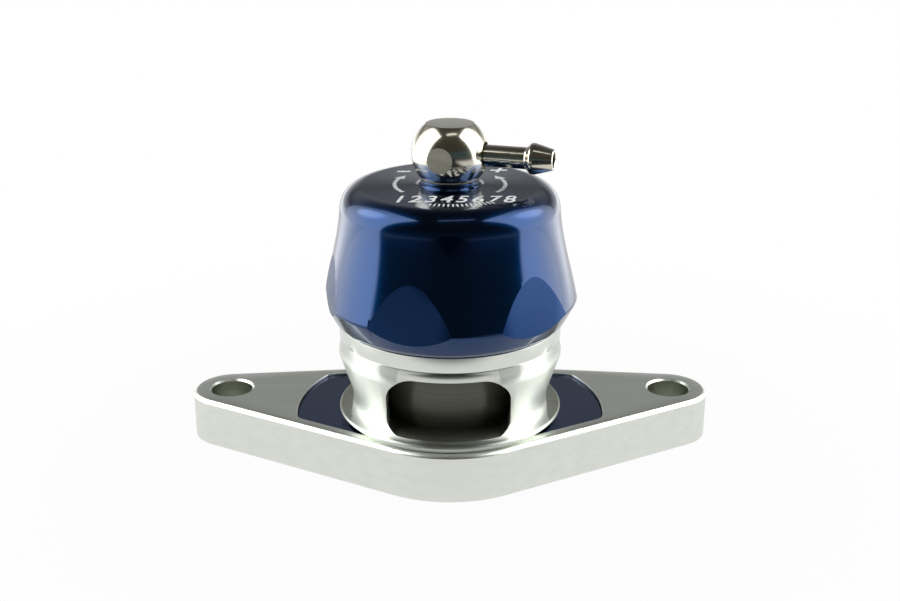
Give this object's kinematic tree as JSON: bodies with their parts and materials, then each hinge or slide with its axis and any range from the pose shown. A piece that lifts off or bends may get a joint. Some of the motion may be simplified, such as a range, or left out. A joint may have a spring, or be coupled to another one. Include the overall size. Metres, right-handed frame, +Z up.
{
  "type": "blow-off valve",
  "caption": "Turbo blow-off valve on a two-bolt flange: sprung piston, screw-down preload cap and swivelling hose barb.",
  "frame": {"origin": "on the valve's axis, in the plane of the flange's bottom face", "axes": "+Z up the valve's axis, +X along the flange, and the outlet window faces -Y"},
  "size_m": [0.1134, 0.0526, 0.0723],
  "materials": {
    "satin_aluminium": "fine-milled, satin, bright chamfers",
    "polished_aluminium": "turned and polished",
    "blue_anodised": "deep gloss blue anodising",
    "nickel": "bright nickel plate",
    "dark_alloy": "turned, hard anodised olive grey",
    "spring_steel": "drawn wire",
    "seal_rubber": "matte black",
    "bearing_plastic": "smooth, pale brown",
    "copper_washer": "soft copper"
  },
  "bodies": {
    "valve": {"flange_plate": "satin_aluminium", "clamp_plate": "blue_anodised", "flange_seal": "seal_rubber", "valve_body": "polished_aluminium", "body_o_ring": "seal_rubber", "valve_seat": "bearing_plastic", "stop_collar": "polished_aluminium", "cap_o_ring": "seal_rubber"},
    "piston_group": {"piston": "dark_alloy", "nose_seal": "seal_rubber", "piston_seal": "seal_rubber", "lower_wear_ring": "bearing_plastic", "upper_wear_ring": "bearing_plastic"},
    "spring_carrier": {"main_spring": "spring_steel", "spring_seat": "dark_alloy", "thrust_washer": "bearing_plastic"},
    "cap_group": {"cap": "blue_anodised", "swivel_post": "nickel", "post_washer": "copper_washer", "swivel_washer": "bearing_plastic", "swivel_o_ring": "seal_rubber"},
    "fitting": {"ball_fitting": "nickel", "hose_barb": "nickel", "swivel_clip": "spring_steel"}
  },
  "joints": [
    {"name": "piston_lift", "type": "slide", "parent": "valve", "child": "piston_group", "axis": [0, 0, 1], "range_m": [0, 0.008], "stiffness_N_per_m": 1000, "springref_m": -0.003, "deforming": ["main_spring"]},
    {"name": "cap_lift", "type": "slide", "parent": "valve", "child": "spring_carrier", "axis": [0, 0, 1], "range_m": [0, 0.003], "deforming": ["main_spring"]},
    {"name": "cap_turn", "type": "hinge", "parent": "spring_carrier", "child": "cap_group", "pos_m": [0, 0, 0.045], "axis": [0, 0, 1], "range_deg": [0, 720]},
    {"name": "fitting_swivel", "type": "hinge", "parent": "cap_group", "child": "fitting", "pos_m": [0, 0, 0.0662], "axis": [0, 0, 1], "continuous": true}
  ],
  "couplings": [
    {"joint": "cap_lift", "follows": "cap_turn", "m_per_rad": 0.00023873}
  ]
}
